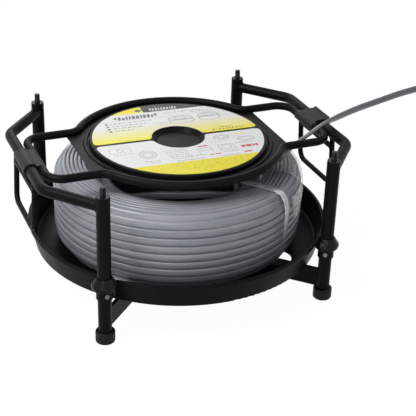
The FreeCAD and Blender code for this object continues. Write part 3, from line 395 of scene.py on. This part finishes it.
def flat_run(path, section):
    rings = []
    for angle, radius, height, lean in path:
        out = Vector((math.cos(angle), math.sin(angle), 0))
        tilt = math.radians(lean)
        wide = Z * math.cos(tilt) - out * math.sin(tilt)
        thin = out * math.cos(tilt) + Z * math.sin(tilt)
        center = out * radius + Z * height
        rings.append([center + wide * a + thin * b for a, b in section])
    return rings


def add_mesh(store, skin):
    shift = len(store[0])
    store[0].extend(skin[0])
    store[1].extend(tuple(i + shift for i in face) for face in skin[1])


section = oval(0.00585, 0.00295, 16, 3.0)
FOOT = 0.0634
outer = [(0.1724, FOOT, -21), (0.1798, 0.0756, -9), (0.1822, 0.0872, -2), (0.1827, 0.0987, 0),
         (0.1827, 0.1105, 0), (0.1826, 0.1224, 0), (0.1824, 0.1341, 1), (0.182, 0.1457, 4),
         (0.1804, 0.1576, 9), (0.1757, 0.1672, 26), (0.1698, 0.1708, 14), (0.1636, 0.1717, 6),
         (0.1575, 0.172, 2), (0.1513, 0.1719, 0), (0.1452, 0.1715, -3), (0.139, 0.1708, -5),
         (0.1328, 0.1697, -8)]
LINING_PITCH = 0.0122
inner = [(0.106, FOOT + LINING_PITCH * i, 0) for i in range(8)]
inner += [(0.1062, FOOT + LINING_PITCH * 8 - 0.002, 0)]
# Loose turn at the front of the bore: it leaves the others, crosses the gap under the lid and goes back in.
LOOSE_START, LOOSE_MIDDLE, LOOSE_STEP = -158, -107, 1.75
loose_turn = []
for i in range(61):
    angle = math.radians(LOOSE_START + LOOSE_STEP * i)
    apart = math.degrees(angle) - LOOSE_MIDDLE
    loose_turn.append((angle, 0.1071 + 0.0115 * (apart / 38) ** 2 / (1 + (apart / 60) ** 4),
                       0.1702 - 0.0115 * ease((abs(apart) - 12) / 36), 2))
bundle = ([], [])
add_mesh(bundle, loft(flat_run(wound(outer, 1.0), section)))
add_mesh(bundle, loft(flat_run(wound(inner, 0.8), section)))
add_mesh(bundle, loft(flat_run(loose_turn, section)))
turns = shown("cable_bundle", mesh_of("cable_bundle", *bundle), "turntable", SHEATH)

# Layers inside the bundle, seen in the gaps between turns and at the foot of the gap round the bore.
profile = [(0.109, 0.0585), (0.1665, 0.0585), (0.1745, 0.074), (0.1792, 0.09), (0.1792, 0.15), (0.1765, 0.16)]
for i in range(7):
    r = 0.1698 - 0.0062 * i
    profile += [(r + 0.0024, 0.171 - 0.0003 * i), (r, 0.1724 - 0.0003 * i), (r - 0.0024, 0.171 - 0.0003 * i)]
profile += [(0.1292, 0.15), (0.112, 0.15), (0.11, 0.158), (0.109, 0.158)]
rings = []
for i in range(180):
    angle = 2 * math.pi * i / 180
    rings.append([Vector((math.cos(angle) * r, math.sin(angle) * r, z)) for r, z in profile])
core = shown("bundle_layers", mesh_of("bundle_layers", *loft(rings, closed_path=True)), "turntable",
             SHEATH)
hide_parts("cable_winding")
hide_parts("cable_core")

# Two clear straps, each pulled tight round the section of the bundle.
STRAP_CENTERS = ((0.1685, 0.0638), (0.1766, 0.0756), (0.1793, 0.0872), (0.1797, 0.148), (0.1772, 0.1585),
                 (0.1724, 0.1645), (0.167, 0.1662), (0.132, 0.1656), (0.1086, 0.1646), (0.1085, 0.0638))


def around(centers, reach):
    """Closed outline at a distance outside a convex chain of points, with how it faces."""
    spots = []
    n = len(centers)
    for i, (r, z) in enumerate(centers):
        before, after = centers[i - 1], centers[(i + 1) % n]
        start = math.atan2(-(r - before[0]), z - before[1])
        turn = math.remainder(math.atan2(-(after[0] - r), after[1] - z) - start, 2 * math.pi)
        parts = max(2, int(abs(turn) / 0.12))
        for k in range(parts + 1):
            a = start + turn * k / parts
            spots.append((r + reach * math.cos(a), z + reach * math.sin(a), a))
    return spots


bands = ([], [])
for aim in STRAPS:
    out = Vector((math.cos(aim), math.sin(aim), 0))
    side = Vector((-out.y, out.x, 0))
    rings = []
    for k, (r, z, a) in enumerate(around(STRAP_CENTERS, 0.0065)):
        spot = out * r + Z * z
        face = out * math.cos(a) + Z * math.sin(a)
        half = 0.0046 + 0.0019 * ease((z - 0.075) / 0.08) + 0.0004 * noise.noise(spot * 40)
        shift = 0.0007 * noise.noise(spot * 22 + Vector((5, 0, aim)))
        rings.append([spot + side * (u * half + shift) + face * (v * 0.00022 + 0.0003 * (1 - u * u))
                      for u, v in ((-1, -1), (-0.5, -1), (0, -1), (0.5, -1), (1, -1), (1, 1), (0.5, 1), (0, 1),
                                   (-0.5, 1), (-1, 1))])
    add_mesh(bands, loft(rings, closed_path=True))
straps = shown("clear_straps", mesh_of("clear_straps", *bands), "turntable", STRAP)
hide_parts("bundle_straps")

# Clear film over the right and the back of the bundle, and its loose flap beside the front strap.
FILM_LINE = ((0.131, 0.1742), (0.1365, 0.1784), (0.142, 0.1795), (0.15, 0.1798), (0.158, 0.1797),
             (0.166, 0.1791), (0.1735, 0.1773), (0.1788, 0.1737), (0.1825, 0.1685), (0.1845, 0.1625),
             (0.1857, 0.155), (0.1861, 0.148), (0.1862, 0.14), (0.1862, 0.133), (0.1861, 0.1255),
             (0.1861, 0.119))
FILM_START, FILM_SWEEP = -37.9, 150


def film_mesh(name, cells, shape):
    wide, tall = cells
    points = [shape(i / wide, j / tall) for i in range(wide + 1) for j in range(tall + 1)]
    step = tall + 1
    faces = [(i * step + j, (i + 1) * step + j, (i + 1) * step + j + 1, i * step + j + 1)
             for i in range(wide) for j in range(tall)]
    return mesh_of(name, points, faces)


def wrap_spot(u, v):
    """u runs round the bundle, v over the top and down the side."""
    angle = math.radians(FILM_START + FILM_SWEEP * u)
    flat = Vector((math.cos(angle), math.sin(angle), 0))
    angle += math.radians(1.6 * noise.noise(Vector((v * 9, 3, 1)))) * (1 - ease(u * 6))
    ragged = 0.5 + 0.8 * noise.noise(flat * 3.1 + Vector((2, 0, 0))) + 0.5 * noise.noise(flat * 11)
    ragged = 0.72 + 0.28 * ease(ragged)
    place = min(v * ragged, 0.9999) * (len(FILM_LINE) - 1)
    k = int(place)
    r = FILM_LINE[k][0] + (FILM_LINE[k + 1][0] - FILM_LINE[k][0]) * (place - k)
    z = FILM_LINE[k][1] + (FILM_LINE[k + 1][1] - FILM_LINE[k][1]) * (place - k)
    spot = Vector((math.cos(angle) * r, math.sin(angle) * r, z))
    crease = noise.noise(Vector((angle * 9, v * 5, 1))) + 0.6 * noise.noise(Vector((angle * 26, v * 12, 4)))
    loose = 0.0005 + 0.0009 * abs(crease) + 0.0012 * ease(v * 3 - 1.6) * ease(1 - u * 5)
    flare = ease(v * 3 - 0.7)
    away = Vector((math.cos(angle) * flare, math.sin(angle) * flare, ease(2.4 - v * 4)))
    return spot + away.normalized() * loose


def flap_spot(u, v):
    """Folded flap that hangs from the film's front edge: u to the right, v downward."""
    left = -50.5 + 3.5 * v
    right = -36.5 - 9.5 * ease((v - 0.42) / 0.58)
    angle = math.radians(left + (right - left) * u)
    drop = 0.1675 - 0.0425 * v - 0.004 * (1 - u) * ease(1 - v)
    fold = abs(math.remainder(u * 2.3 + 0.4 * noise.noise(Vector((v * 3, 1, 0))), 1.0))
    rumple = noise.noise(Vector((u * 6, v * 9, 2)))
    radius = 0.1868 + 0.0026 * fold + 0.0022 * u * ease(v * 2) + 0.0007 * rumple
    return Vector((math.cos(angle) * radius, math.sin(angle) * radius, drop))


film = shown("film_wrap", film_mesh("film_wrap", (150, 60), wrap_spot), "turntable", FILM)
flap = shown("film_flap", film_mesh("film_flap", (22, 30), flap_spot), "turntable", FLAP)


# Weld beads where tubes and rods are joined.
def bead(store, path, size):
    """Rippled bead along a closed or open path."""
    closed = (path[0] - path[-1]).length < 1e-6
    path = path[:-1] if closed else path
    if closed:
        ways = [(path[(i + 1) % len(path)] - path[i - 1]).normalized() for i in range(len(path))]
    else:
        ways = headings(path)
    rings = []
    for i, (p, way) in enumerate(zip(path, ways)):
        side = way.orthogonal().normalized()
        top = way.cross(side)
        swell = size * (0.86 + 0.2 * abs(math.sin(i * 0.9)) + 0.1 * noise.noise(p * 900))
        rings.append([p + side * math.cos(k * math.pi / 4) * swell + top * math.sin(k * math.pi / 4) * swell
                      for k in range(8)])
    if closed:
        for i in range(1, len(rings)):
            best = min(range(8), key=lambda k: (rings[i][k] - rings[i - 1][0]).length)
            rings[i] = rings[i][best:] + rings[i][:best]
    add_mesh(store, loft(rings, closed_path=closed))


def saddle(center, way, rod, tube_axis, tube):
    """Line where a rod that leaves center along way meets a tube."""
    way = way.normalized()
    tube_axis = tube_axis.normalized()
    side = way.cross(tube_axis).normalized()
    top = side.cross(way)
    spots = []
    for i in range(49):
        a = 2 * math.pi * i / 48
        off = side * (rod * math.cos(a)) + top * (rod * math.sin(a))
        plain_way = way - tube_axis * way.dot(tube_axis)
        plain_off = off - tube_axis * off.dot(tube_axis)
        aa, bb, cc = plain_way.dot(plain_way), plain_way.dot(plain_off), plain_off.dot(plain_off) - tube * tube
        spots.append(center + off + way * ((-bb + math.sqrt(max(0.0, bb * bb - aa * cc))) / aa))
    spots[-1] = spots[0].copy()
    return spots


POST, GRIP, GRIP_Z = 0.00955, 0.00795, 0.20765
CORNER = 0.168
GRIP_RUN = (0.061, 0.072)
LOOP_END = (0.229, 0.052)
LOOP_ROD = 0.004
LOOP_LEG = (0.004, 0.0854)
RUNG_DROP = 0.0234
GRIP_BEAD, LEG_BEAD, RUNG_BEAD, ARM_BEAD = 0.0012, 0.0009, 0.0007, 0.0011
for side_name, side in (("left", -1), ("right", 1)):
    welds = ([], [])
    for end in (-1, 1):
        post = Vector((side * CORNER, end * CORNER, GRIP_Z))
        inward = Vector((side * GRIP_RUN[0], -end * GRIP_RUN[1], 0))
        bead(welds, saddle(post, inward, GRIP, Z, POST), GRIP_BEAD)
        leg = Vector((side * LOOP_END[0], end * LOOP_END[1], GRIP_Z))
        down = Vector((side * LOOP_LEG[0], 0, -LOOP_LEG[1]))
        bead(welds, saddle(leg, down, LOOP_ROD, Vector((0, 1, 0)), GRIP), LEG_BEAD)
        rung = Vector((side * (LOOP_END[0] + LOOP_LEG[0] * RUNG_DROP / LOOP_LEG[1]), end * LOOP_END[1],
                       GRIP_Z - RUNG_DROP))
        bead(welds, saddle(rung, Vector((0, -end, 0)), LOOP_ROD, -down, LOOP_ROD), RUNG_BEAD)
    name = f"weld_beads_{side_name}"
    shown(name, mesh_of(name, *welds), f"{side_name}_frame", COAT)
ARM_SIDE = 0.0036
ARM_LOW, ARM_STEP = 0.0185, 0.0015
HUB_WELD = 0.0162
LEG_WELD = math.hypot(CORNER, CORNER) - 0.0093
welds = ([], [])
for x in (-1, 1):
    for y in (-1, 1):
        out = Vector((x, y, 0)).normalized()
        across_arm = Vector((-out.y, out.x, 0))
        for edge in (-1, 1):
            for reach in (HUB_WELD, LEG_WELD):
                foot = out * reach + across_arm * (edge * ARM_SIDE)
                bead(welds, [foot + Z * (ARM_LOW + ARM_STEP * k) for k in range(20)], ARM_BEAD)
shown("weld_beads_base", mesh_of("weld_beads_base", *welds), "base", COAT)

# Printed marks on the labels: plain bars, rings and boxes. Places are in millimetres.
SKEW = -PRINT_SKEW
CARD_TOP = 0.2124
chance = random.Random(11)


def printed(name, tone, shapes, height):
    """Thin ink shapes on the card, each a closed chain of points in the plane of the print."""
    store = ([], [])
    for outline in shapes:
        ring_of = []
        for u, v in outline:
            x, y = u / 1000, v / 1000
            ring_of.append(Vector((x * math.cos(SKEW) - y * math.sin(SKEW),
                                   x * math.sin(SKEW) + y * math.cos(SKEW), CARD_TOP + height)))
        start = len(store[0])
        store[0].extend(ring_of)
        store[1].append(tuple(range(start, start + len(ring_of))))
    shown(name, mesh_of(name, *store, smooth=False), "lid", tone)


def bar(u, v, length, tall, slant=0.0):
    return [(u, v), (u + length, v), (u + length + slant, v + tall), (u + slant, v + tall)]


def text_row(u, v, reach, tall, word=6.0):
    """Row of dashes of uneven length."""
    row = []
    end = u + reach
    while u < end - 1:
        length = min(word * chance.uniform(0.35, 1.3), end - u)
        row.append(bar(u, v, length, tall))
        u += length + tall * 0.9
    return row


def hoops(u, v, wide, tall, line):
    """Oval ring as a chain of small quads."""
    row = []
    for k in range(28):
        a, b = (2 * math.pi * (k + e) / 28 for e in (0, 1))
        row.append([(u + wide * math.cos(a), v + tall * math.sin(a)),
                    (u + wide * math.cos(b), v + tall * math.sin(b)),
                    (u + (wide - line) * math.cos(b), v + (tall - line) * math.sin(b)),
                    (u + (wide - line) * math.cos(a), v + (tall - line) * math.sin(a))])
    return row


def frame_box(u, v, wide, tall, line):
    return [bar(u, v, wide, line), bar(u, v + tall - line, wide, line), bar(u, v, line, tall),
            bar(u + wide - line, v, line, tall)]


def ink(name, low, high):
    f = Finish(name)
    wear = f.ramp(f.noise(500, 3), 0.35, 0.7)
    return f.set(Base_Color=f.mix(wear, low, high), Roughness=f.ramp(wear, 0, 1, 0.3, 0.45),
                 Normal=f.bump(f.noise(240, 2), 0.15, 0.0001))


DARK_INK = ink("dark_ink", (0.012, 0.012, 0.014), (0.035, 0.035, 0.037))
GREY_INK = ink("grey_ink", (0.2, 0.2, 0.21), (0.28, 0.28, 0.29))
PALE_INK = ink("pale_ink", (0.46, 0.46, 0.47), (0.55, 0.55, 0.55))
RED_INK = ink("red_ink", (0.4, 0.016, 0.03), (0.5, 0.035, 0.05))
dark, grey, pale, red = [], [], [], []
# back label: heavy strokes under the dark strip, rows with bullets, two oval figures
u = -74.0
while u < -9:
    wide = chance.uniform(2.8, 5.2)
    tall = chance.choice((12.0, 12.0, 12.0, 8.0))
    dark.append(bar(u, 81 + chance.choice((0, 12 - tall)), wide, tall, 2.2 * tall / 12))
    u += wide + 1.7
u = -12.0
while u < 30:
    wide = chance.uniform(1.8, 3.4)
    pale.append(bar(u, 104.5 - 0.03 * u, wide, 9, 1.6))
    u += wide + 2.0
dark.append([(-29.5 + 5.2 * math.cos(math.pi * k / 10), 109.5 + 4.8 * math.sin(math.pi * k / 10))
             for k in range(20)])
grey += text_row(5, 88.5, 62, 2.8, 4)
dark += [bar(-94, 78.4, 178, 0.4)]
for i in range(4):
    v = 68.2 - 9 * i
    dark.append(bar(-92.6, v, 4.4, 4.4))
    grey += text_row(-84, v + 0.7, (64, 57, 46, 29)[i], 2.9, 5)
for u, v, wide in ((25, 66, 19.5), (70.5, 68, 17)):
    grey += hoops(u, v, wide, 8.6, 1.2) + hoops(u, v, wide * 0.5, 4.3, 1.0)
    grey += hoops(u - 1, v - 12, wide, 8.4, 1.1)
    grey += [bar(u - wide, v - 12, 1.0, 12), bar(u + wide - 1, v - 12, 1.0, 12)]
    pale += hoops(u, v, wide * 0.8, 6.9, 1.8)
grey += text_row(-14, 55, 17, 2.0, 4) + text_row(-13, 48, 14, 2.0, 4) + text_row(48, 84, 30, 2.0, 4)
dark += text_row(57, 8.2, 50, 3.0, 3.4) + text_row(70, 15, 22, 2.0, 3)
# front label: panels of rows and line figures, a few red bars, specks on the yellow band
grey += frame_box(-112, -32, 32, 14, 0.8) + hoops(-96, -25, 5, 4.4, 1.0) + text_row(-108, -39, 30, 1.9, 4)
pale += text_row(-106, -45, 26, 2.2, 4) + text_row(-100, -51, 22, 2.2, 4)
grey += hoops(-61.5, -48.5, 13, 13.5, 1.1) + hoops(-61.5, -48.5, 7.5, 7.8, 1.0)
pale += hoops(-61.5, -48.5, 10.4, 10.8, 1.8)
grey += text_row(-72, -71, 22, 1.8, 4) + text_row(-68, -76.5, 20, 1.8, 4)
for i in range(6):
    grey += text_row(-37 + i, -44 - 5.8 * i, 32, 1.8, 4)
grey += hoops(60, -19, 12.5, 8, 1.1) + hoops(60, -19, 6, 3.8, 0.9) + hoops(94, -33, 13.5, 8, 1.1)
pale += hoops(60, -19, 9.6, 6, 1.6) + hoops(94, -33, 10, 5.8, 1.5) + text_row(38, -33, 30, 2.2, 4)
grey += frame_box(44, -64, 24, 20, 0.9) + hoops(56, -53, 8, 6.5, 1.0) + text_row(46, -70, 22, 1.8, 4)
grey += [bar(10, -50, 24, 0.9), bar(12, -64, 0.9, 14), bar(32, -62, 0.9, 12), bar(14, -57, 16, 0.9)]
grey += text_row(72, -46, 26, 1.8, 4) + text_row(4, -70, 14, 1.8, 4)
dark += text_row(-28, -80.8, 40, 1.1, 3) + text_row(36, -81.2, 30, 1.1, 3)
red += [bar(15.5, -43.8, 14.5, 3.4), bar(23.5, -74, 6, 2.8), bar(31, -73.6, 8.5, 2.8, 1),
        bar(77, -61.5, 6, 7.4), bar(84.5, -61.3, 8, 7.4), bar(94, -61, 3.6, 7),
        bar(99, -60.6, 4, 7), bar(74, -77.8, 12.5, 3.4)]
for i in range(80):
    u, v = chance.uniform(-74, 74), chance.uniform(-114, -86.5)
    if math.hypot(u, v) < 119:
        grain = chance.uniform(0.45, 1.3)
        dark.append(bar(u, v, grain * 1.5, grain))
for name, tone, shapes, height in (
        ("print_pale", PALE_INK, pale, 0.00002), ("print_grey", GREY_INK, grey, 0.00003),
        ("print_dark", DARK_INK, dark, 0.00004), ("print_red", RED_INK, red, 0.00005)):
    printed(name, tone, shapes, height)
stripe = Finish("yellow_patch")
stripe_tone = stripe.mix(stripe.ramp(stripe.noise(90, 3), 0.3, 0.7), (0.7, 0.56, 0.02), (0.8, 0.66, 0.03))
stripe.set(Base_Color=stripe_tone, Roughness=0.35, Normal=stripe.bump(stripe.noise(240, 2), 0.15, 0.0001))
printed("print_stripe", stripe.made, [bar(79, -14.4, 21, 2.6)], 0.00003)

# Floor and light
stage_mesh = mesh_of("floor", [(-6, -6, 0), (6, -6, 0), (6, 6, 0), (-6, 6, 0)], [(0, 1, 2, 3)], smooth=False)
ground = Finish("floor_white")
lit = ground.add("BsdfDiffuse", {"Color": (0.82, 0.82, 0.82)}).outputs["BSDF"]
glow = ground.add("Emission", {"Color": (1.0, 1.0, 1.0), "Strength": 1.03}).outputs["Emission"]
rays = ground.add("LightPath").outputs
seen = ground.math("MAXIMUM", rays["Is Camera Ray"], rays["Is Glossy Ray"])
seen = ground.math("MAXIMUM", seen, rays["Is Transmission Ray"])
both = ground.add("MixShader", {0: ground.math("MULTIPLY", seen, 0.94), 1: lit, 2: glow}).outputs[0]
ground.tree.links.new(both, ground.tree.nodes["Material Output"].inputs["Surface"])
shown("floor", stage_mesh, finish=ground.made)

world = bpy.data.worlds.new("studio")
world.use_nodes = True
scene.world = world
tree = world.node_tree
sky = tree.nodes["Background"]
sky.inputs["Color"].default_value = (0.93, 0.96, 1.0, 1)
direction = tree.nodes.new("ShaderNodeTexCoord")
split = tree.nodes.new("ShaderNodeSeparateXYZ")
fall = tree.nodes.new("ShaderNodeMapRange")
for name, given in (("From Min", -1.0), ("From Max", 1.0), ("To Min", 0.42), ("To Max", 0.14)):
    fall.inputs[name].default_value = given
tree.links.new(direction.outputs["Generated"], split.inputs[0])
tree.links.new(split.outputs["X"], fall.inputs["Value"])
tree.links.new(fall.outputs["Result"], sky.inputs["Strength"])
plain = tree.nodes.new("ShaderNodeBackground")
plain.inputs["Color"].default_value = (1, 1, 1, 1)
path_info = tree.nodes.new("ShaderNodeLightPath")
camera_or_clear = tree.nodes.new("ShaderNodeMath")
camera_or_clear.operation = "MAXIMUM"
any_direct = tree.nodes.new("ShaderNodeMath")
any_direct.operation = "MAXIMUM"
backdrop = tree.nodes.new("ShaderNodeMixShader")
tree.links.new(path_info.outputs["Is Camera Ray"], camera_or_clear.inputs[0])
tree.links.new(path_info.outputs["Is Transmission Ray"], camera_or_clear.inputs[1])
tree.links.new(camera_or_clear.outputs[0], any_direct.inputs[0])
tree.links.new(path_info.outputs["Is Glossy Ray"], any_direct.inputs[1])
tree.links.new(any_direct.outputs[0], backdrop.inputs[0])
tree.links.new(sky.outputs[0], backdrop.inputs[1])
tree.links.new(plain.outputs[0], backdrop.inputs[2])
tree.links.new(backdrop.outputs[0], tree.nodes["World Output"].inputs["Surface"])


def lamp(name, spot, aim, size, power):
    data = bpy.data.lights.new(name, "AREA")
    data.size = size
    data.energy = power
    item = shown(name, data)
    spot = Vector(spot)
    turn = (spot - Vector(aim)).to_track_quat("Z", "Y")
    item.matrix_world = Matrix.Translation(spot) @ turn.to_matrix().to_4x4()


lamp("key", (-1.15, -0.2, 1.65), (0, 0, 0.12), 0.9, 31)
lamp("front", (-1.5, -1.8, 0.9), (0, 0, 0.1), 1.3, 6)
lamp("spark", (-0.7, -1.3, 1.5), (0, 0, 0.12), 0.12, 1.6)
lamp("back", (0.15, 1.45, 1.0), (-0.05, 0, 0.2), 0.9, 4)
